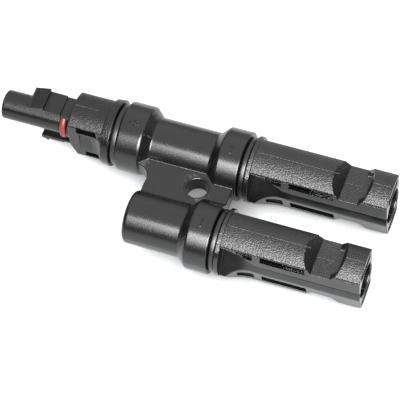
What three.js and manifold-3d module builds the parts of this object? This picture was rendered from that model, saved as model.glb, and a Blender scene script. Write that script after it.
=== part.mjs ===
// Two-into-one branch connector for solar cables.
// One plug at the -X end feeds two sockets at the +X end through two parallel barrels.
// Frame: millimetres, +X from the plug's nose to the sockets' mouths, +Y towards the through line,
// +Z up. The origin is on the surface the connector lies on, under the middle of its box.
import * as THREE from "three";
import { mergeVertices } from "three/addons/utils/BufferGeometryUtils.js";
import Module from "manifold-3d";

const wasm = await Module();
wasm.setup();

// ---- driving dimensions, in millimetres ----
const PITCH = 25; // between the through line's axis and the branch line's
const COLLAR_RADIUS = 10; // the connector lies on its collars, so this is also the axis height
const BARREL_RADIUS = 7.6;
const HALF_LENGTH = 58; // nose tip and socket mouths are this far from the middle
const FACETS = 40; // of an outer round
const FINE_FACETS = 20; // of a bore or a small round
const GAP = 0.3; // left between pieces that touch
const OVERSHOOT = 1; // how far a cutter runs past the face it opens

// branch body, along X
const PLUG_COLLAR = { back: -21, front: -14.2 };
const SOCKET_COLLAR = { back: 8.5, front: 15.05 };
const SHOULDER_LENGTH = 2.6; // cone between a collar and its barrel
const STUB_END = -10.8; // closed end of the branch barrel
const EDGE = 0.5; // softened edges
const WEB = { left: -13.7, waist: -10.1, right: 14.3, corner: 3.6, half: 2.6 };
const HOLE = { x: 4.4, y: 0.2, radius: 3.1, bossRadius: 4.8, bossHalf: 3 };
const SPIGOT_RADIUS = 6.6;
const SPIGOT_LENGTH = 5.4; // how deep a housing sits in its collar
const CONDUCTOR_RADIUS = 2.2;
const CONDUCTOR_BORE = 2.7;

// housings
const ARC_RADIUS = 9.3; // rounded top and bottom of a socket housing
const PLUG_ARC_RADIUS = 9.1;
const FLANGE_RADIUS = 9.8;
const FLAT_HALF = 6.15; // half the width across a housing's flat sides
const SEAL_RADIUS = 9.3;
const CHAMBER_RADIUS = 3.5; // around a crimped contact
const GLAND_RADIUS = 4.5;
const GLAND_BORE = 4.8;

// socket, along X
const SOCKET = {
  flangeBack: 16.5,
  flangeFront: 19.2,
  seat: 29, // wall that carries the pin
  floor: 35.5, // bottom of the mouth
  mouth: HALF_LENGTH,
  mouthRadius: 5,
  pinBore: 2.35,
};
const WINDOW = { back: 44.2, front: 49.8, floor: 5.5, backSlope: 0.85, frontSlope: 0.5 };
const ARM_SLOT = { half: 4.1, low: 5.5, high: 7.9 };
const SIDE_SLOTS = { height: 5.5, half: 0.6, depth: 0.8, ends: [[22.6, 27.2], [29.6, 42.4]] };
const GROOVE = { radius: 3.56, depth: 0.55, start: 27 };
const SCOOP = { x: 21, radius: 14, floor: 5, low: -4.6, high: 4.6, end: 27 };

// plug, along X
const PLUG = {
  tip: -HALF_LENGTH,
  noseRadius: 4.2,
  noseBore: 3.4,
  ringGroove: { back: -40.1, front: -37.7, floor: 3.5 },
  baseRadius: 4.8,
  face: -36.2, // front of the body, behind the nose
  neckBore: 2.8,
  chamber: -35.5,
  flangeFront: -25.8,
  flangeBack: -23.2,
};
const PLUG_SLOTS = { height: 5.2, half: 0.55, depth: 0.8, ends: [-33.2, -28.2] };
const PANEL = { ends: [-32.8, -29.4], half: 3.4, depth: 0.35 };
const FLARE = { start: -28.5, radius: 3 };
const LEAD_IN = { high: -2.4, low: -9.1, back: -33.4 }; // slanted lower front of the plug body
const ARM = { half: 3.6, root: -32.4, inner: 5.6, catchX: -44.4, catchHeight: 8.5 };
const ARM_POCKET = { half: 4.1, low: 5.2, high: 7.6, back: -32 };
const O_RING = { x: -38.9, half: 0.95, inner: 3.8, outer: 5.1 };

// contacts
const PIN_RADIUS = 2;
const PIN_TIP = 52.5;
const CONTACT = { front: -57, radius: 3.1, bore: 2.15, boreEnd: -44, neck: -43, slot: 0.5 };
const BAND = { ends: [-52, -49], inner: 2.75, seat: 2.5 };
const SHANK_RADIUS = 2.5;
const CRIMP = { radius: 2.9, bore: 2.5, length: 8 };
const CLIP = { inner: 2.8, outer: 3.25, length: 0.8 };
const SLEEVE = { ends: [-7.1, -1.9], inner: 2.5, outer: 3.2, room: 3.6 };
const BUSBAR = { ends: [-6.7, -2.3], half: 0.6, room: 1 };

// ---- materials ----
const GRAINED_BLACK = { color: 0x242526, roughness: 0.62, metalness: 0 };
const SATIN_BLACK = { color: 0x1c1d1e, roughness: 0.42, metalness: 0 };
const SEAL_BLACK = { color: 0x0c0d0e, roughness: 0.3, metalness: 0 };
const ORANGE_SILICONE = { color: 0xc8492e, roughness: 0.45, metalness: 0 };
const GREY_SILICONE = { color: 0x8b8f92, roughness: 0.55, metalness: 0 };
const TINNED_COPPER = { color: 0xc9ccce, roughness: 0.3, metalness: 1 };
const SPRING_STEEL = { color: 0xaeb2b5, roughness: 0.35, metalness: 1 };
const BARE_COPPER = { color: 0xb8703f, roughness: 0.4, metalness: 1 };

// ---- shape helpers ----

// A closed three.js geometry as a solid that can be joined and cut.
function solidFrom(geometry) {
  const bare = geometry.clone();
  bare.deleteAttribute("normal");
  bare.deleteAttribute("uv");
  const merged = mergeVertices(bare, 1e-4);
  const corners = merged.index.array;
  const kept = [];
  for (let i = 0; i < corners.length; i += 3) {
    const [a, b, c] = corners.subarray(i, i + 3);
    if (a !== b && b !== c && c !== a) kept.push(a, b, c);
  }
  return new wasm.Manifold(
    new wasm.Mesh({
      numProp: 3,
      vertProperties: merged.attributes.position.array,
      triVerts: new Uint32Array(kept),
    }),
  );
}

// A profile of [x, radius] points turned about the X axis; it runs towards +X on the outside.
function turned(profile, facets = FACETS) {
  const points = profile.map(([x, radius]) => new THREE.Vector2(radius, x));
  return solidFrom(new THREE.LatheGeometry(points, facets).rotateZ(-Math.PI / 2));
}

// A solid round from one x to another.
function rod(start, end, radius, facets = FINE_FACETS) {
  return turned([[start, 0], [start, radius], [end, radius], [end, 0]], facets);
}

// A tube from one x to another, with softened outer edges if asked.
function tube(start, end, inner, outer, edge = 0, facets = FINE_FACETS) {
  const outside = [[start, outer - edge], [start + edge, outer], [end - edge, outer], [end, outer - edge]];
  const profile = [[start, inner], ...(edge ? outside : [[start, outer], [end, outer]])];
  return turned([...profile, [end, inner], [start, inner]], facets);
}

function box([x0, x1], [y0, y1], [z0, z1]) {
  const geometry = new THREE.BoxGeometry(x1 - x0, y1 - y0, z1 - z0);
  return solidFrom(geometry.translate((x0 + x1) / 2, (y0 + y1) / 2, (z0 + z1) / 2));
}

function extruded(outline, depth) {
  const shape = new THREE.Shape(outline.map(([u, v]) => new THREE.Vector2(u, v)));
  return new THREE.ExtrudeGeometry(shape, { depth, bevelEnabled: false });
}

// An outline in X and Z, extruded across Y from -half to half.
function acrossY(outline, half) {
  return solidFrom(extruded(outline, 2 * half).rotateX(Math.PI / 2).translate(0, half, 0));
}

// An outline in X and Y, extruded up Z from -half to half.
function acrossZ(outline, half) {
  return solidFrom(extruded(outline, 2 * half).translate(0, 0, -half));
}

// A round post standing along Z.
function post(x, y, radius, low, high, facets = FINE_FACETS) {
  const geometry = new THREE.CylinderGeometry(radius, radius, high - low, facets);
  return solidFrom(geometry.rotateX(Math.PI / 2).translate(x, y, (low + high) / 2));
}

const joined = (solids) => solids.reduce((all, one) => all.add(one));
const cut = (solid, cutters) => cutters.reduce((left, cutter) => left.subtract(cutter), solid);
const moved = (solid, x, y, z) => solid.translate([x, y, z]);
const bothSides = (make) => [make(1), make(-1)];

function node(name, solid, look, parent) {
  const mesh = solid.getMesh();
  const geometry = new THREE.BufferGeometry();
  geometry.setAttribute("position", new THREE.BufferAttribute(mesh.vertProperties, 3));
  geometry.setIndex(new THREE.BufferAttribute(mesh.triVerts, 1));
  const piece = new THREE.Mesh(geometry, new THREE.MeshStandardMaterial(look));
  piece.name = name;
  parent.add(piece);
}

// ---- branch body ----

// Cone and collar of a socket end, up to the collar's front face.
function socketShoulder() {
  const { back, front } = SOCKET_COLLAR;
  return [
    [back - SHOULDER_LENGTH + EDGE / 2, BARREL_RADIUS],
    [back, COLLAR_RADIUS - EDGE / 4],
    [back + EDGE, COLLAR_RADIUS],
    [front - EDGE, COLLAR_RADIUS],
    [front, COLLAR_RADIUS - EDGE],
    [front, 0],
  ];
}

function throughBarrel() {
  const { back, front } = PLUG_COLLAR;
  return turned([
    [back, 0],
    [back, COLLAR_RADIUS - EDGE],
    [back + EDGE, COLLAR_RADIUS],
    [front - EDGE / 2, COLLAR_RADIUS],
    [front, COLLAR_RADIUS - EDGE / 4],
    [front + SHOULDER_LENGTH, BARREL_RADIUS],
    ...socketShoulder(),
  ]);
}

function branchBarrel() {
  const rounding = 1.5;
  const slant = rounding * (1 - Math.SQRT1_2);
  return turned([
    [STUB_END, 0],
    [STUB_END, BARREL_RADIUS - rounding],
    [STUB_END + slant, BARREL_RADIUS - slant],
    [STUB_END + rounding, BARREL_RADIUS],
    ...socketShoulder(),
  ]);
}

// Flat web between the barrels, with a hollow corner beside the plug collar.
function web() {
  const { left, waist, right, corner, half } = WEB;
  const top = corner - 0.7;
  const steps = 6;
  const curve = [];
  for (let i = 0; i <= steps; i++) {
    const turn = (i / steps) * (Math.PI / 2);
    curve.push([left + corner * Math.sin(turn), top - corner + corner * Math.cos(turn)]);
  }
  const side = PITCH / 2;
  const outline = [[right, -side], [right, side], [left, side], ...curve, [waist, -side]];
  const boss = post(HOLE.x, HOLE.y, HOLE.bossRadius, -HOLE.bossHalf, HOLE.bossHalf);
  return acrossZ(outline, half).add(boss);
}

// Room for a housing's spigot inside a collar, opened at the collar's face.
function spigotRoom(face, direction) {
  const ends = [face + direction * OVERSHOOT, face - direction * SPIGOT_LENGTH];
  return rod(Math.min(...ends), Math.max(...ends), SPIGOT_RADIUS + GAP, FACETS);
}

function branchBody() {
  const side = PITCH / 2;
  const sleeveRoom = () => rod(SLEEVE.ends[0] - GAP, SLEEVE.ends[1] + GAP, SLEEVE.room);
  const throughRooms = [
    spigotRoom(PLUG_COLLAR.back, -1),
    spigotRoom(SOCKET_COLLAR.front, 1),
    rod(PLUG_COLLAR.back, SOCKET_COLLAR.front, CONDUCTOR_BORE),
    sleeveRoom(),
  ];
  const branchRooms = [
    spigotRoom(SOCKET_COLLAR.front, 1),
    rod(STUB_END + 2, SOCKET_COLLAR.front, CONDUCTOR_BORE),
    sleeveRoom(),
  ];
  const busbarRoom = box(
    [BUSBAR.ends[0] - GAP, BUSBAR.ends[1] + GAP],
    [-side, side],
    [-BUSBAR.room, BUSBAR.room],
  );
  const outside = joined([moved(throughBarrel(), 0, side, 0), moved(branchBarrel(), 0, -side, 0), web()]);
  return cut(outside, [
    ...throughRooms.map((room) => moved(room, 0, side, 0)),
    ...branchRooms.map((room) => moved(room, 0, -side, 0)),
    busbarRoom,
    post(HOLE.x, HOLE.y, HOLE.radius, -HOLE.bossHalf - OVERSHOOT, HOLE.bossHalf + OVERSHOOT),
  ]);
}

// ---- socket housing ----

function socketOutside() {
  const { flangeBack, flangeFront, mouth } = SOCKET;
  const spigotEnd = SOCKET_COLLAR.front - SPIGOT_LENGTH + GAP;
  return turned([
    [spigotEnd, 0],
    [spigotEnd, SPIGOT_RADIUS],
    [flangeBack, SPIGOT_RADIUS],
    [flangeBack, FLANGE_RADIUS - EDGE],
    [flangeBack + EDGE, FLANGE_RADIUS],
    [flangeFront - EDGE, FLANGE_RADIUS],
    [flangeFront, ARC_RADIUS],
    [mouth - EDGE / 2, ARC_RADIUS],
    [mouth, ARC_RADIUS - EDGE / 2],
    [mouth, 0],
  ]);
}

// Everything outside a housing's flat side, between two x positions.
function flatCutter(start, end, sign) {
  const span = [FLAT_HALF, COLLAR_RADIUS + OVERSHOOT].map((y) => sign * y);
  const reach = COLLAR_RADIUS + OVERSHOOT;
  return box([start, end], [Math.min(...span), Math.max(...span)], [-reach, reach]);
}

// A long pocket in a flat side, at a height above or below the middle.
function sidePocket([start, end], sign, low, high, depth) {
  const span = [sign * (FLAT_HALF - depth), sign * (FLAT_HALF + OVERSHOOT)];
  return box([start, end], [Math.min(...span), Math.max(...span)], [low, high]);
}

function sideSlots(slots, sign) {
  const { height, half, depth } = slots;
  return slots.ends.flatMap((ends) => [
    sidePocket(ends, sign, height - half, height + half, depth),
    sidePocket(ends, sign, -height - half, -height + half, depth),
  ]);
}

// Shallow hollow along the middle of a flat side.
function sideGroove(sign) {
  const { radius, depth, start } = GROOVE;
  const cutter = rod(start, SOCKET.mouth + OVERSHOOT, radius);
  return moved(cutter, 0, sign * (FLAT_HALF - depth + radius), 0);
}

// Curved hollow behind a flat side, up to the flange.
function sideScoop(sign) {
  const { x, radius, floor, low, high, end } = SCOOP;
  const cylinder = post(x, sign * (floor + radius), radius, low, high, FACETS);
  const reach = [0, sign * (COLLAR_RADIUS + OVERSHOOT)];
  const span = [Math.min(...reach), Math.max(...reach)];
  return cylinder.intersect(box([SOCKET.flangeFront, end], span, [low, high]));
}

// Latch window: a flat floor between a slanted shoulder and the front ring.
function latchWindow(sign) {
  const { back, front, floor, backSlope, frontSlope } = WINDOW;
  const high = COLLAR_RADIUS + OVERSHOOT;
  const rise = high - floor;
  const outline = [
    [back, sign * floor],
    [front, sign * floor],
    [front + rise * frontSlope, sign * high],
    [back - rise * backSlope, sign * high],
  ];
  return acrossY(outline, COLLAR_RADIUS);
}

function armSlot(sign) {
  const span = [sign * ARM_SLOT.low, sign * ARM_SLOT.high];
  const heights = [Math.min(...span), Math.max(...span)];
  return box([WINDOW.front - GAP, SOCKET.mouth + OVERSHOOT], [-ARM_SLOT.half, ARM_SLOT.half], heights);
}

function socketRooms() {
  const { seat, floor, mouth, mouthRadius, pinBore, flangeBack } = SOCKET;
  const spigotEnd = SOCKET_COLLAR.front - SPIGOT_LENGTH;
  const chamfer = 0.2;
  const mouthRoom = turned([
    [floor, 0],
    [floor, mouthRadius],
    [mouth - chamfer, mouthRadius],
    [mouth + chamfer, mouthRadius + 2 * chamfer],
    [mouth + chamfer, 0],
  ], FACETS);
  return [
    mouthRoom,
    rod(seat - OVERSHOOT, floor + OVERSHOOT, pinBore),
    rod(flangeBack - OVERSHOOT, seat, CHAMBER_RADIUS),
    rod(spigotEnd - OVERSHOOT, flangeBack, GLAND_BORE),
  ];
}

function socketHousing() {
  return cut(socketOutside(), [
    ...bothSides((sign) => flatCutter(SOCKET.flangeFront, SOCKET.mouth + OVERSHOOT, sign)),
    ...bothSides(sideScoop),
    ...bothSides(sideGroove),
    ...bothSides((sign) => sideSlots(SIDE_SLOTS, sign)).flat(),
    ...bothSides(latchWindow),
    ...bothSides(armSlot),
    ...socketRooms(),
  ]);
}

// ---- plug housing ----

function plugOutside() {
  const { tip, noseRadius, ringGroove, baseRadius, face, flangeFront, flangeBack } = PLUG;
  const spigotEnd = PLUG_COLLAR.back + SPIGOT_LENGTH - GAP;
  const rounding = 0.6;
  return turned([
    [tip, 0],
    [tip, noseRadius - rounding],
    [tip + rounding, noseRadius],
    [ringGroove.back, noseRadius],
    [ringGroove.back, ringGroove.floor],
    [ringGroove.front, ringGroove.floor],
    [ringGroove.front, baseRadius],
    [face, baseRadius],
    [face, PLUG_ARC_RADIUS - EDGE / 2],
    [face + EDGE / 2, PLUG_ARC_RADIUS],
    [flangeFront, PLUG_ARC_RADIUS],
    [flangeFront + EDGE, FLANGE_RADIUS],
    [flangeBack - EDGE, FLANGE_RADIUS],
    [flangeBack, FLANGE_RADIUS - EDGE],
    [flangeBack, SPIGOT_RADIUS],
    [spigotEnd, SPIGOT_RADIUS],
    [spigotEnd, 0],
  ]);
}

// Pocket that holds a latch arm's root, open at the body's front.
function armPocket(sign) {
  const span = [sign * ARM_POCKET.low, sign * ARM_POCKET.high];
  const heights = [Math.min(...span), Math.max(...span)];
  const ends = [PLUG.face - OVERSHOOT, ARM_POCKET.back];
  return box(ends, [-ARM_POCKET.half, ARM_POCKET.half], heights);
}

// Slanted lower front of the plug body.
function leadIn() {
  const { high, low, back } = LEAD_IN;
  const slope = (back - PLUG.face) / (high - low);
  const front = PLUG.face - OVERSHOOT;
  const deep = low - OVERSHOOT;
  return acrossY(
    [
      [front, high + OVERSHOOT / slope],
      [front, deep],
      [back + slope * OVERSHOOT, deep],
    ],
    COLLAR_RADIUS,
  );
}

function plugRooms() {
  const { tip, noseBore, neckBore, ringGroove, chamber, flangeBack } = PLUG;
  return [
    rod(tip - OVERSHOOT, ringGroove.back - OVERSHOOT, noseBore),
    rod(tip, chamber, neckBore),
    rod(chamber, flangeBack + OVERSHOOT, CHAMBER_RADIUS),
    rod(flangeBack, PLUG_COLLAR.back + SPIGOT_LENGTH + OVERSHOOT, GLAND_BORE),
  ];
}

function plugHousing() {
  const reach = COLLAR_RADIUS + OVERSHOOT;
  const flare = (sign) => post(FLARE.start, sign * (FLAT_HALF + FLARE.radius), FLARE.radius, -reach, reach);
  const slots = { ...PLUG_SLOTS, ends: [PLUG_SLOTS.ends] };
  return cut(plugOutside(), [
    ...bothSides((sign) => flatCutter(PLUG.face - OVERSHOOT, FLARE.start, sign)),
    ...bothSides(flare),
    ...bothSides((sign) => sideSlots(slots, sign)).flat(),
    ...bothSides((sign) => sidePocket(PANEL.ends, sign, -PANEL.half, PANEL.half, PANEL.depth)),
    ...bothSides(armPocket),
    leadIn(),
    ...plugRooms(),
  ]);
}

// Latch arm: a springy plate with a wedge-shaped catch; the tip says how far forward it reaches.
function latchArm(sign, tip) {
  const { half, root, inner, catchX, catchHeight } = ARM;
  const thickness = 1.2;
  const splay = 0.3; // the plate leans outwards by this much at its catch
  const outline = [
    [root, inner],
    [root, inner + thickness],
    [catchX, inner + thickness + splay],
    [catchX, catchHeight],
    [tip + 0.8, inner + thickness + splay + 0.2],
    [tip, inner + thickness],
    [tip, inner + 0.8],
    [catchX, inner + splay],
  ];
  return acrossY(outline.map(([x, z]) => [x, sign * z]), half);
}

// ---- contacts and conductors ----

function socketPin() {
  const crimpStart = SOCKET.flangeBack + 0.5;
  const crimpEnd = crimpStart + CRIMP.length;
  const flange = [SOCKET.seat - 1, SOCKET.seat - GAP];
  const outside = turned([
    [crimpStart, 0],
    [crimpStart, CRIMP.radius],
    [crimpEnd, CRIMP.radius],
    [crimpEnd, SHANK_RADIUS],
    [flange[0], SHANK_RADIUS],
    [flange[0], CLIP.outer],
    [flange[1], CLIP.outer],
    [flange[1], PIN_RADIUS],
    [PIN_TIP - PIN_RADIUS, PIN_RADIUS],
    [PIN_TIP - PIN_RADIUS / 2, PIN_RADIUS * 0.85],
    [PIN_TIP, PIN_RADIUS / 2],
    [PIN_TIP, 0],
  ], FINE_FACETS);
  return cut(outside, [rod(crimpStart - OVERSHOOT, crimpEnd - 1, CRIMP.bore)]);
}

function plugContact() {
  const { front, radius, bore, boreEnd, neck, slot } = CONTACT;
  const crimpEnd = PLUG.flangeBack - 0.5;
  const crimpStart = crimpEnd - CRIMP.length;
  const outside = turned([
    [front, 0],
    [front, radius],
    [BAND.ends[0] - GAP, radius],
    [BAND.ends[0] - GAP, BAND.seat],
    [BAND.ends[1] + GAP, BAND.seat],
    [BAND.ends[1] + GAP, radius],
    [neck, radius],
    [neck, SHANK_RADIUS],
    [crimpStart - 1, SHANK_RADIUS],
    [crimpStart - 1, CLIP.outer],
    [crimpStart, CLIP.outer],
    [crimpStart, CRIMP.radius],
    [crimpEnd, CRIMP.radius],
    [crimpEnd, 0],
  ], FINE_FACETS);
  const slotEnds = [front - OVERSHOOT, BAND.ends[1] + 2];
  return cut(outside, [
    rod(front - OVERSHOOT, boreEnd, bore),
    rod(crimpStart + 1, crimpEnd + OVERSHOOT, CRIMP.bore),
    box(slotEnds, [-slot / 2, slot / 2], [-CHAMBER_RADIUS, CHAMBER_RADIUS]),
    box(slotEnds, [-CHAMBER_RADIUS, CHAMBER_RADIUS], [-slot / 2, slot / 2]),
  ]);
}

function splitRing(start, length, inner, outer) {
  const gap = box([start - 1, start + length + 1], [-0.3, 0.3], [0, outer + 1]);
  return cut(tube(start, start + length, inner, outer), [gap]);
}

const sealRing = (start, end) => tube(start, end, SPIGOT_RADIUS + GAP, SEAL_RADIUS, 0.2, FACETS);
const gland = (start, end) => tube(start, end, CRIMP.bore, GLAND_RADIUS, 0.3);
const sleeve = () => tube(...SLEEVE.ends, SLEEVE.inner, SLEEVE.outer, 0.2);

// Rounded-section ring in the groove at the nose's base.
function noseRing() {
  const { x, half, inner, outer } = O_RING;
  const middle = (inner + outer) / 2;
  const rise = (outer - inner) / 2;
  const steps = 12;
  const profile = [];
  for (let i = 0; i <= steps; i++) {
    const turn = (i / steps) * 2 * Math.PI;
    profile.push([x - half * Math.cos(turn), middle + rise * Math.sin(turn)]);
  }
  return turned(profile, FACETS);
}

// ---- assembly ----

// The pieces that every socket end has, about its own axis.
function addSocketEnd(line, suffix) {
  const { flangeBack, seat } = SOCKET;
  const clipStart = seat - 2.4;
  const glandStart = SOCKET_COLLAR.front - SPIGOT_LENGTH + 2 * GAP;
  node("socket_housing_" + suffix, socketHousing(), GRAINED_BLACK, line);
  node("socket_seal_ring_" + suffix, sealRing(SOCKET_COLLAR.front + GAP, flangeBack - GAP), SEAL_BLACK, line);
  node("socket_pin_" + suffix, socketPin(), TINNED_COPPER, line);
  node("pin_clip_" + suffix, splitRing(clipStart, CLIP.length, CLIP.inner, CLIP.outer), SPRING_STEEL, line);
  node("socket_gland_" + suffix, gland(glandStart, flangeBack - GAP), GREY_SILICONE, line);
  node("splice_sleeve_" + suffix, sleeve(), TINNED_COPPER, line);
}

function addPlugEnd(line) {
  const { face, flangeBack } = PLUG;
  const glandEnd = PLUG_COLLAR.back + SPIGOT_LENGTH - 2 * GAP;
  const clipStart = PLUG.chamber + GAP;
  const bandLength = BAND.ends[1] - BAND.ends[0];
  const lowerTip = ARM.catchX - 2;
  const upperTip = ARM.catchX - 4.8;
  node("plug_housing", plugHousing(), GRAINED_BLACK, line);
  node("latch_arm_top", latchArm(1, upperTip), GRAINED_BLACK, line);
  node("latch_arm_bottom", latchArm(-1, lowerTip), GRAINED_BLACK, line);
  node("nose_o_ring", noseRing(), ORANGE_SILICONE, line);
  node("plug_seal_ring", sealRing(flangeBack + GAP, PLUG_COLLAR.back - GAP), SEAL_BLACK, line);
  node("plug_contact", plugContact(), TINNED_COPPER, line);
  node("contact_band", splitRing(BAND.ends[0], bandLength, BAND.inner, CONTACT.radius), SPRING_STEEL, line);
  node("contact_clip", splitRing(clipStart, CLIP.length, CLIP.inner, CLIP.outer), SPRING_STEEL, line);
  node("plug_gland", gland(flangeBack + GAP, glandEnd), GREY_SILICONE, line);
}

const connector = new THREE.Group();
const axes = new THREE.Group();
axes.position.z = COLLAR_RADIUS;
connector.add(axes);
const throughLine = new THREE.Group();
throughLine.position.y = PITCH / 2;
const branchLine = new THREE.Group();
branchLine.position.y = -PITCH / 2;
axes.add(throughLine, branchLine);

const crimpInside = CRIMP.length - 1 - GAP;
const conductorEnd = SOCKET.flangeBack + 0.5 + crimpInside;
const throughStart = PLUG.flangeBack - 0.5 - crimpInside;
const busbarReach = PITCH / 2 - SLEEVE.outer - GAP;

node("branch_body", branchBody(), SATIN_BLACK, axes);
addPlugEnd(throughLine);
addSocketEnd(throughLine, "through");
addSocketEnd(branchLine, "branch");
node("through_conductor", rod(throughStart, conductorEnd, CONDUCTOR_RADIUS), BARE_COPPER, throughLine);
node("branch_conductor", rod(STUB_END + 2 + GAP, conductorEnd, CONDUCTOR_RADIUS), BARE_COPPER, branchLine);
node(
  "busbar",
  box(BUSBAR.ends, [-busbarReach, busbarReach], [-BUSBAR.half, BUSBAR.half]),
  BARE_COPPER,
  axes,
);

export default connector;
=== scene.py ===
"""Looks of a two-into-one solar cable branch connector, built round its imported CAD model.

The moulded pieces are modelled as smooth distance fields in millimetres, about the axis that
each of them turns on, and meshed finely; small round parts are turned profiles.
"""
import math
import bpy
import numpy as np
from mathutils import Matrix, Vector


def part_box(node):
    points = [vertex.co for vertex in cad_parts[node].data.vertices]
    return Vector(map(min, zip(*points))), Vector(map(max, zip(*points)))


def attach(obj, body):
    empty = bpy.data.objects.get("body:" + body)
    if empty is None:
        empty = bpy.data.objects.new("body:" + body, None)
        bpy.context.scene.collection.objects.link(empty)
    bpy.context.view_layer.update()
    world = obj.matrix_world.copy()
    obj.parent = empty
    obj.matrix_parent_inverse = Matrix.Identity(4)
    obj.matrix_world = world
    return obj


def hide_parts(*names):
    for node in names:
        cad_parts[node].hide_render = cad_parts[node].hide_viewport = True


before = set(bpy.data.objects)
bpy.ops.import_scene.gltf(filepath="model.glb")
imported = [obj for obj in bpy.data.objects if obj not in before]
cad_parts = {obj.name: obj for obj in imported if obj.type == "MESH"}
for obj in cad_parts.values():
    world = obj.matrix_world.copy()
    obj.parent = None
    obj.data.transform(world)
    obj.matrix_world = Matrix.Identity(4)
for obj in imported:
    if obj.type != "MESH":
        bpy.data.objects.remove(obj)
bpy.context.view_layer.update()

MM = 0.001
FINE = 0.2  # mesh step of the moulded pieces, in mm
ARM_STEP = 0.12
SEAM_STEP = 0.06
PROBE = 0.03  # how far apart a field is read to find its slope, in mm

# Radii from each piece's own axis, in mm.
COLLAR = 10.0
BARREL = 7.6
ARC = 9.3  # round top and bottom of a socket
PLUG_ARC = 9.1
FLANGE = 9.8
SPIGOT = 6.6
NOSE = 4.2
GLAND_ROOM = 4.8
CRIMP_ROOM = 3.5

# Stations along X, in mm.
MOUTH = 58.0
NOSE_TIP = -58.0
COLLAR_BACK = 8.5
COLLAR_FRONT = 15.05
PLUG_COLLAR_FRONT = -21.0
PLUG_COLLAR_BACK = -11.6
SOCKET_BACK = 17.0
PLUG_NECK = -37.7
PLUG_BASE = -36.2
ARM_ROOT = -32.4
CATCH_BACK = -44.4
TOP_ARM_TIP = -49.2
BOTTOM_ARM_TIP = -46.4

FLAT = 6.15  # from the axis to a flat side
EDGE = 0.35
NO_WALL = -9.0  # a field value where the flat sides don't cut
ARM_ROOM = 4.1  # half the width of the room round a latch arm
SOCKET_FLARE = 9.6  # radius of the curve from a socket's side out to its flange
PLUG_FLARE = 3.7
WINDOW = {"back": 44.2, "front": 49.5, "floor": 5.5, "back_slope": 0.85, "front_slope": 0.75}
SOCKET_SLOT_HEIGHTS = ((4.4, 6.75), (-5.5, -3.4))
SOCKET_SLOT_RUNS = (((22.8, 27.3), 2.3), ((29.6, 42.4), 3.6))  # start and end, then depth
SILL_FALL = 0.8  # how much a slot's sill drops for each mm inwards

WEB_BACK = -13.7
WEB_FRONT = 14.3
WEB_NARROW = -10.1  # where the web starts beside the stub
WEB_HALF = 2.6  # half the web's thickness
HOLLOW_Y = -0.7
HOLLOW_RADIUS = 3.6
HOLE_X = 4.8
HOLE_Y = 0.2
HOLE = 3.1
BOSS = 3.75
BOSS_HALF = 2.72

MARK_HALF = 1.3  # half the length of a polarity mark's bar
MARK_WIDTH = 0.2
MARK_RISE = 0.12
MARK_Y = -1.5
SEAM = 0.12  # a moulding seam's half width


def middle(node):
    low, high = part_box(node)
    return (low + high) / 2


THROUGH = middle("socket_pin_through")
BRANCH = middle("socket_pin_branch")
PLUG = middle("plug_contact")


# ---- distance fields, in mm ----

def between(value, low, high):
    """Distance from a slab, negative within it."""
    return np.maximum(low - value, value - high)


def overlap(a, b, rounding):
    """Where both fields are inside, with the meeting edge rounded."""
    over_a = np.maximum(a + rounding, 0)
    over_b = np.maximum(b + rounding, 0)
    return np.minimum(-rounding, np.maximum(a, b)) + np.sqrt(over_a * over_a + over_b * over_b)


def carve(solid, cutter, rounding):
    """A solid with a cutter taken away, its new edge rounded."""
    return overlap(solid, -cutter, rounding)


def merge(a, b, fillet):
    """Two solids joined, with a fillet where they meet."""
    return -overlap(-a, -b, fillet)


def slant(along, across, start, end):
    """Distance from the line through two points, positive on its left; the points may be fields."""
    run = end[0] - start[0]
    rise = end[1] - start[1]
    return ((across - start[1]) * run - (along - start[0]) * rise) / np.hypot(run, rise)


def ease(value, low, high):
    """0 below a span, 1 above it, and a smooth rise between."""
    t = np.clip((value - low) / (high - low), 0, 1)
    return t * t * (3 - 2 * t)


def collar(x, radial, low, high):
    return overlap(radial - COLLAR, between(x, low, high), EDGE)


# ---- meshing ----

def crossing_edges(values, axis):
    """Grid edges along one axis that cross the surface, and how far along each crosses."""
    ahead = [slice(None)] * 3
    behind = [slice(None)] * 3
    ahead[axis] = slice(1, None)
    behind[axis] = slice(None, -1)
    first, second = values[tuple(behind)], values[tuple(ahead)]
    where = np.argwhere((first < 0) != (second < 0))
    a = first[tuple(where.T)].astype(float)
    b = second[tuple(where.T)].astype(float)
    crossing = where.astype(float)
    crossing[:, axis] += a / (a - b)
    return where, crossing, a < 0


def quads_round(where, axis, shape, leaving):
    """The four cells round each crossing edge, turned so that the face looks outwards."""
    u, v = (axis + 1) % 3, (axis + 2) % 3
    corners = []
    for step_u, step_v in ((-1, -1), (0, -1), (0, 0), (-1, 0)):
        cell = where.copy()
        cell[:, u] += step_u
        cell[:, v] += step_v
        corners.append(np.ravel_multi_index(cell.T, shape))
    ring = np.stack(corners, 1)
    ring[~leaving] = ring[~leaving][:, ::-1]
    return ring


def slope_of(field, points):
    """How fast a field changes along X, Y and Z at each point."""
    slope = np.empty_like(points)
    for axis in range(3):
        shift = np.zeros(3)
        shift[axis] = PROBE
        slope[:, axis] = field(*(points + shift).T) - field(*(points - shift).T)
    return slope / (2 * PROBE)


def settled(points, field, step):
    """Points moved onto the surface, with the outward direction at each."""
    for _ in range(4):
        slope = slope_of(field, points)
        size = np.maximum((slope * slope).sum(1), 0.2)
        shift = field(*points.T) / size
        reach = np.clip(shift, -0.4 * step, 0.4 * step)
        points = points - reach[:, None] * slope
    slope = slope_of(field, points)
    return points, slope / np.maximum(np.linalg.norm(slope, axis=1, keepdims=True), 1e-6)


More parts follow.
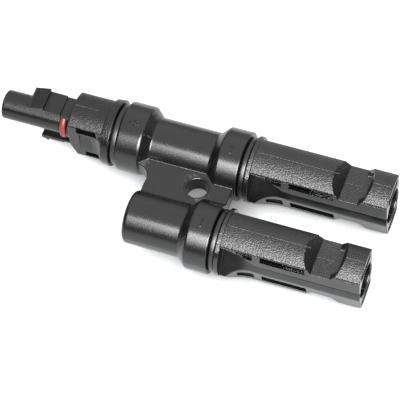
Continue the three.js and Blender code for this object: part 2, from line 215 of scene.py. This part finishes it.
def field_mesh(name, field, low, high, step=FINE):
    """A mesh of the surface where the field is nought, within a box in mm."""
    counts = [int(math.ceil((h - l) / step)) + 1 for l, h in zip(low, high)]
    axes = [l + step * np.arange(n) for l, n in zip(low, counts)]
    grid = np.meshgrid(*axes, indexing="ij", sparse=True)
    values = np.broadcast_to(field(*grid), counts).astype(np.float32)
    shape = tuple(n - 1 for n in counts)
    rings, spots = [], []
    for axis in range(3):
        where, crossing, leaving = crossing_edges(values, axis)
        ring = quads_round(where, axis, shape, leaving)
        rings.append(ring)
        spots.append(np.repeat(crossing, 4, axis=0))
    rings = np.concatenate(rings)
    spots = np.concatenate(spots)
    faces = np.unique(rings, return_inverse=True)[1]
    flat = faces.ravel()
    weight = np.bincount(flat)
    points = np.stack([np.bincount(flat, spots[:, i]) / weight for i in range(3)], 1)
    points = points * step + np.array(low)
    points, normals = settled(points, field, step)
    return mesh_from(name, points * MM, faces.reshape(-1, 4), normals)


def mesh_from(name, points, faces, normals=None):
    mesh = bpy.data.meshes.new(name)
    mesh.vertices.add(len(points))
    mesh.vertices.foreach_set("co", points.astype(np.float32).ravel())
    mesh.loops.add(faces.size)
    mesh.loops.foreach_set("vertex_index", faces.astype(np.int32).ravel())
    mesh.polygons.add(len(faces))
    mesh.polygons.foreach_set("loop_start", np.arange(len(faces), dtype=np.int32) * faces.shape[1])
    mesh.update()
    mesh.polygons.foreach_set("use_smooth", np.ones(len(faces), bool))
    if normals is not None:
        mesh.normals_split_custom_set_from_vertices([tuple(n) for n in normals])
    return mesh


def turned_mesh(name, profile, sides=96):
    """A closed [x, radius] loop in mm, turned about the X axis."""
    turns = np.arange(sides) * 2 * math.pi / sides
    loop = np.array(profile, float)
    x = np.repeat(loop[:, :1], sides, axis=1)
    y = loop[:, 1:] * np.cos(turns)
    z = loop[:, 1:] * np.sin(turns)
    points = np.stack([x, y, z], 2).reshape(-1, 3) * MM
    rows = np.arange(len(loop))[:, None] * sides
    after = np.roll(rows, -1, axis=0)
    here = np.arange(sides)[None, :]
    there = (here + 1) % sides
    faces = np.stack([rows + here, rows + there, after + there, after + here], 2).reshape(-1, 4)
    return mesh_from(name, points, faces)


def eased_loop(corners, radius, steps=4):
    """A closed loop of corners in mm, each one rounded."""
    loop = []
    count = len(corners)
    for i, corner in enumerate(corners):
        here = np.array(corner, float)
        arms = [np.array(corners[(i + k) % count], float) - here for k in (-1, 1)]
        lengths = [np.linalg.norm(arm) for arm in arms]
        reach = min(radius, 0.45 * min(lengths))
        start, end = (here + arm / size * reach for arm, size in zip(arms, lengths))
        for k in range(steps + 1):
            t = k / steps
            loop.append(start * (1 - t) ** 2 + here * 2 * t * (1 - t) + end * t * t)
    return loop


def place(name, mesh, at, body, stands_for, material):
    """A piece on an axis of the connector, standing for a CAD node."""
    piece = bpy.data.objects.new(name, mesh)
    bpy.context.scene.collection.objects.link(piece)
    piece.location = (0, at.y, at.z)
    if not mesh.materials:
        mesh.materials.append(material)
    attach(piece, body)
    if stands_for:
        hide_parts(stands_for)


# ---- branch body ----

def barrel_shape(x, radial, start):
    """A barrel from its start to the collar that takes a socket, about its own axis."""
    barrel = overlap(radial - BARREL, between(x, start, COLLAR_FRONT - 1), 1.3)
    ring = collar(x, radial, COLLAR_BACK - 2.6, COLLAR_FRONT)
    cone = slant(x, radial, (COLLAR_BACK - 2.35, BARREL), (COLLAR_BACK, COLLAR))
    return merge(barrel, overlap(ring, cone, 0.3), 0.35)


def plug_collar(x, radial):
    ring = collar(x, radial, PLUG_COLLAR_FRONT, PLUG_COLLAR_BACK)
    cone = slant(x, radial, (-14.2, COLLAR), (PLUG_COLLAR_BACK, BARREL))
    return overlap(ring, cone, 0.3)


def web_shape(x, y, z):
    """Flat web with a hollow corner beside the plug collar, and a boss round its hole."""
    edge = between(x, WEB_NARROW, WEB_FRONT)
    wide = overlap(between(x, WEB_BACK, WEB_FRONT), HOLLOW_Y - y, 0.01)
    plan = np.minimum(edge, wide)
    hollow = HOLLOW_RADIUS - np.hypot(x - WEB_BACK, y - HOLLOW_Y)
    plan = overlap(plan, hollow, 0.5)
    plate = overlap(plan, np.abs(z) - WEB_HALF, EDGE)
    from_hole = np.hypot(x - HOLE_X, y - HOLE_Y)
    boss = overlap(from_hole - BOSS, np.abs(z) - BOSS_HALF, 0.1)
    return merge(plate, boss, 0.05), from_hole


def polarity_mark(x, y, z, centre_x, upright):
    """A small raised bar on a collar, crossed by a second one where the mark is a plus."""
    along, across = x - centre_x, y - MARK_Y
    bar = np.maximum(np.abs(along) - MARK_WIDTH, np.abs(across) - MARK_HALF)
    cross = np.maximum(np.abs(along) - MARK_HALF, np.abs(across) - MARK_WIDTH)
    plan = np.minimum(bar, cross) if upright else bar
    return overlap(overlap(plan, np.hypot(y, z) - COLLAR - MARK_RISE, 0.06), 5 - z, 0.1)


def branch_field(x, y, z):
    through_y, branch_y = y - THROUGH.y / MM, y - BRANCH.y / MM
    round_through, round_branch = np.hypot(through_y, z), np.hypot(branch_y, z)
    through = merge(barrel_shape(x, round_through, -14), plug_collar(x, round_through), 0.35)
    branch = barrel_shape(x, round_branch, -10.8)
    web, from_hole = web_shape(x, y, z)
    web = overlap(web, between(y, BRANCH.y / MM, THROUGH.y / MM), 0.01)
    solid = merge(merge(through, web, 0.25), branch, 0.25)
    spigot_rooms = (
        (round_through, (9.65, 20)),
        (round_branch, (9.65, 20)),
        (round_through, (-30, -15.6)),
    )
    for radial, ends in spigot_rooms:
        room = np.maximum(radial - SPIGOT - 0.3, between(x, *ends))
        solid = carve(solid, room, 0.3)
    solid = carve(solid, from_hole - HOLE, 0.35)
    marks = (
        polarity_mark(x, through_y, z, -17.4, True),
        polarity_mark(x, through_y, z, 11.6, False),
        polarity_mark(x, branch_y, z, 11.6, False),
    )
    return np.minimum.reduce([solid, *marks])


# ---- socket housing ----

def side_hollow(x, side, z):
    """Deep scoop behind the flat side, narrowing forwards to the start of its groove."""
    forward = ease(x, 18.5, 31.0)
    low = (8.6 + (FLAT - 8.6) * forward, -4.2 + 1.8 * forward)
    deep = (3.1 + (FLAT - 0.8 - 3.1) * forward, 3.6 - 2.8 * forward)
    high = (6.4, 6.9 - 4.6 * forward)
    floor_face = slant(side, z, low, deep)
    roof_face = slant(side, z, deep, high)
    return overlap(floor_face, roof_face, 0.8)


def side_groove(x, side, z):
    """Groove along the side: a steep upper flank over a long shallow one."""
    bottom = (FLAT - 1.05, 0.9)
    steep = slant(side, z, bottom, (FLAT, 2.1))
    shallow = slant(side, z, (FLAT, -1.0), bottom)
    return np.maximum(overlap(steep, shallow, 0.2), 27.0 - x)


def socket_side(x, side, z):
    """How far outside the side wall a point is: nearly flat, with a flare towards the flange."""
    back = np.maximum(27.0 - x, 0)
    flare = SOCKET_FLARE - np.sqrt(np.maximum(SOCKET_FLARE ** 2 - back * back, 1.0))
    lower = 1 - ease(z, 0.5, 3.5)
    lean = 0.05 * np.maximum(z - 2.0, 0) + 0.22 * np.maximum(-1.0 - z, 0)
    return side - FLAT + lean - flare * lower


def slot(x, side, z, low, high, span, depth):
    """A slot cut into a side wall, with a sill that falls away inwards."""
    sill = low - SILL_FALL * np.clip(FLAT - side, 0, depth)
    opening = overlap(between(x, *span), between(z, sill, high), 0.25)
    return np.maximum(opening, FLAT - depth - side)


def window_shape(x, height):
    """A latch window: flat floor, slanted shoulder behind and slanted ring in front."""
    floor = WINDOW["floor"] - height
    back = slant(x, height, (WINDOW["back"], WINDOW["floor"]),
                 (WINDOW["back"] - WINDOW["back_slope"], WINDOW["floor"] + 1))
    front = slant(x, height, (WINDOW["front"] + WINDOW["front_slope"], WINDOW["floor"] + 1),
                  (WINDOW["front"], WINDOW["floor"]))
    return overlap(overlap(floor, back, 0.15), front, 0.15)


def socket_shell(x, side, z, radial):
    """The long outer body with its flat sides, scoops, grooves and slots."""
    walls = np.where(x < 17.9, NO_WALL, socket_side(x, side, z))
    body = overlap(overlap(radial - ARC, between(x, SOCKET_BACK, MOUTH), 0.3), walls, 0.25)
    body = carve(body, np.maximum(side_hollow(x, side, z), 18.2 - x), 0.2)
    body = carve(body, side_groove(x, side, z), 0.15)
    for low, high in SOCKET_SLOT_HEIGHTS:
        for span, depth in SOCKET_SLOT_RUNS:
            body = carve(body, slot(x, side, z, low, high, span, depth), 0.12)
    step = np.maximum(np.abs(z - 6.7) - 0.2, np.maximum(FLAT - 0.5 - side, 18.6 - x))
    return carve(body, step, 0.08)


def socket_flange(x, radial):
    taper = slant(x, radial, (17.6, FLANGE), (20.4, ARC))
    ring = overlap(radial - FLANGE, between(x, SOCKET_BACK, 20.6), 0.3)
    return np.maximum(overlap(ring, taper, 0.8), x - 18.3)


def socket_field(x, y, z):
    side, height = np.abs(y), np.abs(z)
    radial = np.hypot(y, z)
    body = merge(socket_shell(x, side, z, radial), socket_flange(x, radial), 0.15)
    body = carve(body, window_shape(x, height), 0.15)
    arm_room = overlap(side - ARM_ROOM, between(height, WINDOW["floor"], 7.9), 0.3)
    body = carve(body, np.maximum(arm_room, 49.3 - x), 0.15)
    spigot = overlap(radial - SPIGOT, between(x, 10, 18), 0.3)
    body = merge(body, spigot, 0.1)
    mouth = overlap(radial - 5.0, 35.5 - x, 0.3)
    body = carve(body, mouth, 0.35)
    bore = np.maximum(radial - 2.35, between(x, 28, 37))
    crimp_room = np.maximum(radial - CRIMP_ROOM, between(x, 8, 29))
    gland_room = np.maximum(radial - GLAND_ROOM, between(x, 8, 16.5))
    for room in (bore, crimp_room, gland_room):
        body = carve(body, room, 0.15)
    return body


# ---- plug housing and latch arms ----

def plug_side(x, side, z):
    """How far outside the plug's side wall a point is; it flares out at the flange below the slot."""
    back = np.clip(x + 28.8, 0, 3.6)
    flare = PLUG_FLARE - np.sqrt(np.maximum(PLUG_FLARE ** 2 - back * back, 0.04))
    below = 1 - ease(z, 4.2, 4.5)
    return side - FLAT - flare * below


def plug_front(x, y, z):
    """Nose with its ring groove, and the base behind it."""
    radial = np.hypot(y, z)
    nose = overlap(radial - NOSE, between(x, NOSE_TIP, -35), 0.6)
    groove = np.maximum(between(x, -40.1, PLUG_NECK), 3.5 - radial)
    nose = carve(nose, groove, 0.15)
    base = overlap(radial - 4.8, between(x, PLUG_NECK, -35), 0.25)
    return merge(nose, base, 0.1)


def plug_shell(x, side, z, radial):
    """Flat-sided body with its rear flange, slots and a shallow panel that deepens upwards."""
    walls = np.where(x > -25.4, NO_WALL, plug_side(x, side, z))
    body = overlap(radial - PLUG_ARC, between(x, PLUG_BASE, -23.5), 0.35)
    body = overlap(body, walls, 0.25)
    taper = slant(x, radial, (-28.4, PLUG_ARC), (-25.0, FLANGE))
    flange = overlap(overlap(radial - FLANGE, between(x, -27.0, -23.2), 0.3), taper, 0.8)
    flange = np.maximum(flange, -25.6 - x)
    body = merge(body, flange, 0.3)
    lead_in = slant(x, z, (PLUG_BASE, -2.4), (-33.4, -9.1))
    body = overlap(body, -lead_in, 0.3)
    body = carve(body, slot(x, side, z, 4.4, 6.75, (-33.6, -27.6), 2.9), 0.12)
    body = carve(body, slot(x, side, z, -6.0, -4.2, (-31.6, -27.6), 2.9), 0.12)
    panel = slant(side, z, (FLAT, -3.2), (FLAT - 0.75, 3.6))
    panel = overlap(overlap(panel, between(x, -33.0, -29.2), 0.1), z - 3.6, 0.1)
    return carve(body, panel, 0.15)


def plug_field(x, y, z):
    side = np.abs(y)
    radial = np.hypot(y, z)
    pocket = np.maximum(side - ARM_ROOM, between(np.abs(z), 5.2, 7.6))
    body = carve(plug_shell(x, side, z, radial), np.maximum(pocket, x + 32), 0.2)
    body = merge(plug_front(x, y, z), body, 0.25)
    spigot = overlap(radial - SPIGOT, between(x, -25, -15.9), 0.3)
    body = merge(body, spigot, 0.1)
    bore = np.maximum(radial - 3.4, x + 41.1)
    neck = np.maximum(radial - 2.8, between(x, -59, -35))
    chamber = np.maximum(radial - CRIMP_ROOM, between(x, -35.5, -14))
    gland_room = np.maximum(radial - GLAND_ROOM, between(x, -23.2, -14))
    for room in (bore, neck, chamber, gland_room):
        body = carve(body, room, 0.2)
    return body


def arm_field(tip, way):
    """A latch arm on the upper (1) or lower (-1) side: a springy plate and a wedge-shaped catch."""
    def field(x, y, z):
        up = z * way
        top = slant(x, up, (CATCH_BACK, 7.1), (ARM_ROOT, 6.8))
        under = slant(x, up, (CATCH_BACK, 5.9), (ARM_ROOT, 5.6))
        plate = overlap(overlap(top, -under, 0.2), between(x, tip, ARM_ROOT), 0.2)
        relief = np.maximum(-39.4 - x, 6.45 - up)
        plate = carve(plate, relief, 0.15)
        wedge = slant(x, up, (tip, 6.8), (tip + 0.8, 7.3))
        ramp = slant(x, up, (tip + 0.8, 7.3), (CATCH_BACK, 8.5))
        head = overlap(overlap(between(x, tip, CATCH_BACK), ramp, 0.25), 5.9 - up, 0.2)
        head = overlap(head, wedge, 0.25)
        body = merge(plate, head, 0.15)
        return overlap(body, np.abs(y) - 3.6, 0.25)
    return field


# ---- materials ----

def grey(value):
    return (value, value, value)


def nodes_of(name):
    material = bpy.data.materials.new(name)
    material.use_nodes = True
    tree = material.node_tree
    shader = tree.nodes["Principled BSDF"]
    return material, tree, shader


def noise(tree, scale, detail=2.0, roughness=0.5):
    node = tree.nodes.new("ShaderNodeTexNoise")
    spot = tree.nodes.new("ShaderNodeTexCoord")
    tree.links.new(spot.outputs["Object"], node.inputs["Vector"])
    node.inputs["Scale"].default_value = scale
    node.inputs["Detail"].default_value = detail
    node.inputs["Roughness"].default_value = roughness
    return node.outputs["Fac"]


def ranged(tree, value, low, high, start=0.3, end=0.7):
    node = tree.nodes.new("ShaderNodeMapRange")
    tree.links.new(value, node.inputs["Value"])
    node.inputs["From Min"].default_value = start
    node.inputs["From Max"].default_value = end
    node.inputs["To Min"].default_value = low
    node.inputs["To Max"].default_value = high
    return node.outputs["Result"]


def tinted(tree, value, dark, light, start=0.3, end=0.7):
    node = tree.nodes.new("ShaderNodeValToRGB")
    tree.links.new(value, node.inputs["Fac"])
    node.color_ramp.elements[0].position = start
    node.color_ramp.elements[1].position = end
    node.color_ramp.elements[0].color = (*dark, 1)
    node.color_ramp.elements[1].color = (*light, 1)
    return node.outputs["Color"]


def bumped(tree, value, strength, depth, under=None):
    node = tree.nodes.new("ShaderNodeBump")
    tree.links.new(value, node.inputs["Height"])
    node.inputs["Strength"].default_value = strength
    node.inputs["Distance"].default_value = depth
    if under is not None:
        tree.links.new(under, node.inputs["Normal"])
    return node.outputs["Normal"]


def worn_and_highlit_edges(tree, low, high):
    """Near 1 along sharp outer edges, 0 elsewhere."""
    shape = tree.nodes.new("ShaderNodeNewGeometry")
    return ranged(tree, shape.outputs["Pointiness"], 0.0, 1.0, low, high)


def mixed(tree, share, first, second):
    node = tree.nodes.new("ShaderNodeMix")
    node.data_type = "RGBA"
    tree.links.new(share, node.inputs["Factor"])
    tree.links.new(first, node.inputs["A"])
    node.inputs["B"].default_value = (*second, 1)
    return node.outputs["Result"]


def grained_share(tree, low, high, core):
    """1 on outer faces that look up or down, where the mould is textured, and 0 elsewhere."""
    towards = tree.nodes.new("ShaderNodeTexCoord")
    split = tree.nodes.new("ShaderNodeSeparateXYZ")
    tree.links.new(towards.outputs["Normal"], split.inputs["Vector"])
    size = tree.nodes.new("ShaderNodeMath")
    size.operation = "ABSOLUTE"
    tree.links.new(split.outputs["Z"], size.inputs[0])
    facing = ranged(tree, size.outputs["Value"], 0.0, 1.0, low, high)
    inside = tree.nodes.new("ShaderNodeVectorMath")
    inside.operation = "MULTIPLY"
    inside.inputs[1].default_value = (0, 1, 1)
    tree.links.new(towards.outputs["Object"], inside.inputs[0])
    reach = tree.nodes.new("ShaderNodeVectorMath")
    reach.operation = "LENGTH"
    tree.links.new(inside.outputs["Vector"], reach.inputs[0])
    outer = ranged(tree, reach.outputs["Value"], 0.0, 1.0, core * MM, (core + 0.2) * MM)
    both = tree.nodes.new("ShaderNodeMath")
    both.operation = "MULTIPLY"
    tree.links.new(facing, both.inputs[0])
    tree.links.new(outer, both.inputs[1])
    return both.outputs["Value"]


def moulded_plastic(name, dark, light, rough, grain, ior, polish=None, core=0.0):
    """Black plastic with a spark-eroded grain, faint flow marks and paler sharp edges, partly rubbed
    wear and partly a painted edge highlight.

    Where polish is given, only the outer faces beyond the core radius that look up or down are
    grained, and the rest has the polish as its roughness.
    """
    depth, size = grain
    material, tree, shader = nodes_of(name)
    speckle = noise(tree, 1 / (size * MM), 1.5, 0.6)
    mottle = noise(tree, 1 / (3.5 * MM), 4.0, 0.6)
    plain = tinted(tree, mottle, dark, light)
    # Sharp outer edges are mixed towards a paler grey: partly rubbed wear, partly a painted edge
    # highlight.
    colour = mixed(tree, worn_and_highlit_edges(tree, 0.54, 0.62), plain, grey(0.025))
    tree.links.new(colour, shader.inputs["Base Color"])
    waves = bumped(tree, mottle, 0.25, 0.02 * MM)
    bump = bumped(tree, speckle, 1.0, depth * MM, waves)
    roughness = ranged(tree, speckle, rough[0], rough[1])
    if polish is not None:
        share = grained_share(tree, 0.6, 0.74, core)
        tree.links.new(share, bump.node.inputs["Strength"])
        blend = tree.nodes.new("ShaderNodeMix")
        tree.links.new(share, blend.inputs["Factor"])
        blend.inputs["A"].default_value = polish
        tree.links.new(roughness, blend.inputs["B"])
        roughness = blend.outputs["Result"]
    tree.links.new(roughness, shader.inputs["Roughness"])
    tree.links.new(bump, shader.inputs["Normal"])
    shader.inputs["IOR"].default_value = ior
    return material


def soft_rubber(name, dark, light, rough):
    material, tree, shader = nodes_of(name)
    mottle = noise(tree, 1 / (1.2 * MM), 4.0, 0.6)
    tree.links.new(tinted(tree, mottle, dark, light), shader.inputs["Base Color"])
    tree.links.new(ranged(tree, mottle, *rough), shader.inputs["Roughness"])
    tree.links.new(bumped(tree, mottle, 0.5, 0.01 * MM), shader.inputs["Normal"])
    return material


def drawn_metal(name, dark, light, rough):
    material, tree, shader = nodes_of(name)
    streaks = noise(tree, 1 / (0.5 * MM), 3.0, 0.7)
    tree.links.new(tinted(tree, streaks, dark, light), shader.inputs["Base Color"])
    tree.links.new(ranged(tree, streaks, *rough), shader.inputs["Roughness"])
    tree.links.new(bumped(tree, streaks, 0.4, 0.008 * MM), shader.inputs["Normal"])
    shader.inputs["Metallic"].default_value = 1.0
    return material


MATERIALS = {
    "housing_plastic": moulded_plastic(
        "housing_plastic", grey(0.0022), grey(0.0045), (0.3, 0.5), (0.22, 0.38), 1.54, 0.2, 5.2),
    "plug_plastic": moulded_plastic(
        "plug_plastic", grey(0.0022), grey(0.0045), (0.28, 0.44), (0.12, 0.38), 1.42, 0.24, 3.6),
    "body_plastic": moulded_plastic(
        "body_plastic", grey(0.0014), grey(0.0026), (0.23, 0.29), (0.003, 0.5), 1.5),
    "seal_rubber": soft_rubber(
        "seal_rubber", grey(0.002), grey(0.004), (0.3, 0.4)),
    "o_ring_silicone": soft_rubber(
        "o_ring_silicone", (0.08, 0.006, 0.0025), (0.11, 0.009, 0.0035), (0.35, 0.5)),
    "gland_silicone": soft_rubber(
        "gland_silicone", (0.22, 0.23, 0.24), (0.32, 0.33, 0.34), (0.45, 0.6)),
    "tinned_contact": drawn_metal(
        "tinned_contact", (0.52, 0.53, 0.54), (0.68, 0.69, 0.70), (0.2, 0.36)),
    "spring_steel": drawn_metal(
        "spring_steel", (0.36, 0.37, 0.39), (0.5, 0.51, 0.52), (0.22, 0.4)),
    "bare_copper": drawn_metal(
        "bare_copper", (0.45, 0.17, 0.08), (0.66, 0.28, 0.14), (0.25, 0.42)),
}


# ---- pieces ----

def make_branch_body():
    low, high = (-21.6, -23.1, -10.6), (15.6, 23.1, 10.6)
    mesh = field_mesh("branch_body_look", branch_field, low, high)
    axis = Vector((0, 0, THROUGH.z))
    place("branch_body_look", mesh, axis, "connector", "branch_body",
          MATERIALS["body_plastic"])


def make_sockets():
    mesh = field_mesh("socket_housing_look", socket_field, (9.4, -10.4, -10.4), (58.5, 10.4, 10.4))
    for suffix, axis in (("through", THROUGH), ("branch", BRANCH)):
        place("socket_housing_look_" + suffix, mesh, axis, "connector", "socket_housing_" + suffix,
              MATERIALS["housing_plastic"])


def make_plug():
    mesh = field_mesh("plug_housing_look", plug_field, (-58.6, -10.4, -10.4), (-15.4, 10.4, 10.4))
    place("plug_housing_look", mesh, PLUG, "connector", "plug_housing",
          MATERIALS["plug_plastic"])


def make_arms():
    arms = (
        ("latch_arm_top", "top_arm", TOP_ARM_TIP, 1),
        ("latch_arm_bottom", "bottom_arm", BOTTOM_ARM_TIP, -1),
    )
    for name, body, tip, way in arms:
        ends = sorted((way * 5.0, way * 9.1))
        low, high = (tip - 0.5, -4.1, ends[0]), (-31.9, 4.1, ends[1])
        mesh = field_mesh(name + "_look", arm_field(tip, way), low, high, ARM_STEP)
        place(name + "_look", mesh, PLUG, body, name, MATERIALS["plug_plastic"])


def bead_field(start, end, level):
    """A fine moulding seam standing on a surface at a height, along X."""
    def field(x, y, z):
        rise = np.hypot(y * 0.9, z - level) - SEAM
        return overlap(rise, between(x, start, end), 0.05)
    return field


def make_seams():
    """Moulding seams along the top and bottom of the plug and sockets."""
    lines = {
        "socket_arc": (19.0, 42.6, ARC),
        "socket_window": (44.4, 49.4, WINDOW["floor"]),
        "socket_ring": (52.4, 57.5, ARC),
        "plug_arc": (-35.7, -28.5, PLUG_ARC),
    }
    for line, (start, end, level) in lines.items():
        axes = {"through": THROUGH, "branch": BRANCH}
        if line.startswith("plug"):
            axes = {"plug": PLUG}
        for way, sign in (("top", 1), ("bottom", -1)):
            height = level * sign
            low, high = (start - 0.2, -0.3, height - 0.3), (end + 0.2, 0.3, height + 0.3)
            name = line + "_seam_" + way
            mesh = field_mesh(name, bead_field(start, end, height), low, high, SEAM_STEP)
            for suffix, axis in axes.items():
                place(name + "_" + suffix, mesh, axis, "connector", None,
                      MATERIALS["housing_plastic"])


def make_seals():
    turns = [i * math.pi / 12 for i in range(24)]
    o_ring = [(-38.9 + 0.95 * math.cos(t), 4.45 + 0.65 * math.sin(t)) for t in turns]
    place("nose_o_ring_look", turned_mesh("nose_o_ring_look", o_ring), PLUG, "connector",
          "nose_o_ring", MATERIALS["o_ring_silicone"])
    rings = (
        ("plug_seal_ring", PLUG, -22.95, -21.3),
        ("socket_seal_ring_through", THROUGH, 15.3, 16.8),
        ("socket_seal_ring_branch", BRANCH, 15.3, 16.8),
    )
    for name, axis, start, end in rings:
        loop = eased_loop([(start, 6.95), (start, 8.9), (end, 8.9), (end, 6.95)], 0.4)
        place(name + "_look", turned_mesh(name + "_look", loop), axis, "connector", name,
              MATERIALS["seal_rubber"])


def dress_inner_nodes():
    slots = {
        "tinned_contact": ("socket_pin_through", "socket_pin_branch", "plug_contact",
                           "splice_sleeve_through", "splice_sleeve_branch"),
        "spring_steel": ("contact_band", "contact_clip", "pin_clip_through", "pin_clip_branch"),
        "gland_silicone": ("plug_gland", "socket_gland_through", "socket_gland_branch"),
        "bare_copper": ("through_conductor", "branch_conductor", "busbar"),
    }
    for slot, names in slots.items():
        for name in names:
            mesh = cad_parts[name].data
            mesh.materials.clear()
            mesh.materials.append(MATERIALS[slot])


# ---- stage, light and camera ----

def floor_card():
    """White card lit from within, its glow darkened close to the connector as a painted contact
    shadow, and dimmer far away.
    """
    material, tree, shader = nodes_of("floor_card")
    fibre = noise(tree, 1 / (8 * MM), 4.0)
    paper = tinted(tree, fibre, (0.09, 0.092, 0.095), (0.11, 0.112, 0.115))
    tree.links.new(paper, shader.inputs["Base Color"])
    shader.inputs["Roughness"].default_value = 0.6
    shade = tree.nodes.new("ShaderNodeAmbientOcclusion")
    shade.inputs["Distance"].default_value = 12 * MM
    # Painted shadow: the glow turns dark where ambient occlusion is low, close to and under the
    # connector.
    glow_with_painted_shadow = tinted(tree, shade.outputs["AO"], grey(0.06), (0.98, 0.99, 1.0), 0.19, 0.58)
    spot = tree.nodes.new("ShaderNodeTexCoord")
    far = tree.nodes.new("ShaderNodeVectorMath")
    far.operation = "LENGTH"
    tree.links.new(spot.outputs["Object"], far.inputs[0])
    dim = ranged(tree, far.outputs["Value"], 1.05, 0.4, 0.1, 0.19)
    tree.links.new(dim, shader.inputs["Emission Strength"])
    tree.links.new(glow_with_painted_shadow, shader.inputs["Emission Color"])
    return material


def make_floor():
    half = 1.6
    corners = [(-half, -half, 0), (half, -half, 0), (half, half, 0), (-half, half, 0)]
    mesh = mesh_from("floor", np.array(corners), np.array([[0, 1, 2, 3]]))
    mesh.materials.append(floor_card())
    floor = bpy.data.objects.new("floor", mesh)
    bpy.context.scene.collection.objects.link(floor)
    floor.location.z = -0.05 * MM


def softbox(name, toward, distance, size, power):
    """A rectangular area light some way off in a direction, turned to face the connector."""
    light = bpy.data.lights.new(name, "AREA")
    light.shape = "RECTANGLE"
    light.size, light.size_y = size
    light.energy = power
    lamp = bpy.data.objects.new(name, light)
    bpy.context.scene.collection.objects.link(lamp)
    away = Vector(toward).normalized()
    lamp.location = away * distance
    lamp.rotation_mode = "QUATERNION"
    lamp.rotation_quaternion = away.to_track_quat("Z", "Y")


def make_sky():
    """Dark walls round the table, brightening towards a white ceiling and the far wall."""
    world = bpy.data.worlds.new("studio")
    world.use_nodes = True
    tree = world.node_tree
    towards = tree.nodes.new("ShaderNodeTexCoord")
    split = tree.nodes.new("ShaderNodeSeparateXYZ")
    tree.links.new(towards.outputs["Generated"], split.inputs["Vector"])
    lean = tree.nodes.new("ShaderNodeMath")
    lean.operation = "MULTIPLY_ADD"
    tree.links.new(split.outputs["Y"], lean.inputs[0])
    lean.inputs[1].default_value = 0.5
    tree.links.new(split.outputs["Z"], lean.inputs[2])
    shade = tinted(tree, lean.outputs["Value"], grey(0.07), grey(1.0), 0.4, 1.0)
    tree.links.new(shade, tree.nodes["Background"].inputs["Color"])
    tree.nodes["Background"].inputs["Strength"].default_value = 1.5
    bpy.context.scene.world = world


def make_light():
    softbox("front_softbox", (0.22, -0.67, 0.73), 0.5, (0.42, 0.32), 12.5)
    make_sky()
    bpy.context.scene.view_settings.view_transform = "Standard"


def make_camera():
    """A long lens above the branch side, looking down across the connector."""
    azimuth, elevation, roll = (math.radians(v) for v in (24.53, 57.69, -6.02))
    across = math.cos(elevation)
    away = Vector((math.sin(azimuth) * across, -math.cos(azimuth) * across, math.sin(elevation)))
    level = Vector((math.cos(azimuth), math.sin(azimuth), 0))
    upward = away.cross(level)
    right = math.cos(roll) * level + math.sin(roll) * upward
    data = bpy.data.cameras.new("camera")
    data.sensor_width = 36
    data.lens = 217.71
    camera = bpy.data.objects.new("camera", data)
    bpy.context.scene.collection.objects.link(camera)
    turn = Matrix((right, away.cross(right), away)).transposed().to_4x4()
    turn.translation = Vector((6.21, -1.72, 10.0)) * MM + away * 0.67521
    camera.matrix_world = turn
    bpy.context.scene.camera = camera


make_camera()
make_floor()
make_light()
make_branch_body()
make_sockets()
make_plug()
make_arms()
make_seals()
make_seams()
dress_inner_nodes()
